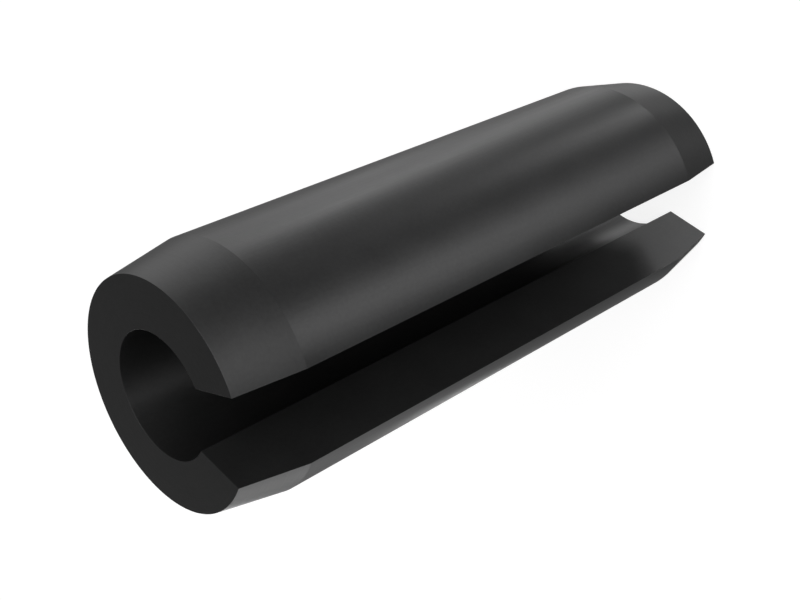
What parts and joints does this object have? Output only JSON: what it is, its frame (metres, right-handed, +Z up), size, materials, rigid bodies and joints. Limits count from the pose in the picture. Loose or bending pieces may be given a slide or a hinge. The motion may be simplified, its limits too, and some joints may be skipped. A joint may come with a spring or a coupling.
{
  "type": "slotted spring roll pin",
  "caption": "Slotted tubular spring pin: a rolled strip of spring steel with tapered ends, driven into a hole smaller than itself so that it grips along its whole length.",
  "frame": {"origin": "on the pin's axis, in the plane of the lower end face", "axes": "+Z up along the pin's axis, +X out through the middle of the slot, +Y to the right of the slot seen from outside"},
  "size_m": [0.0103, 0.0108, 0.03],
  "materials": {
    "black_spring_steel": "hardened spring steel with a thin black oxide, satin, lightly oiled"
  },
  "bodies": {
    "root": {"roll_pin": "black_spring_steel"}
  },
  "joints": []
}
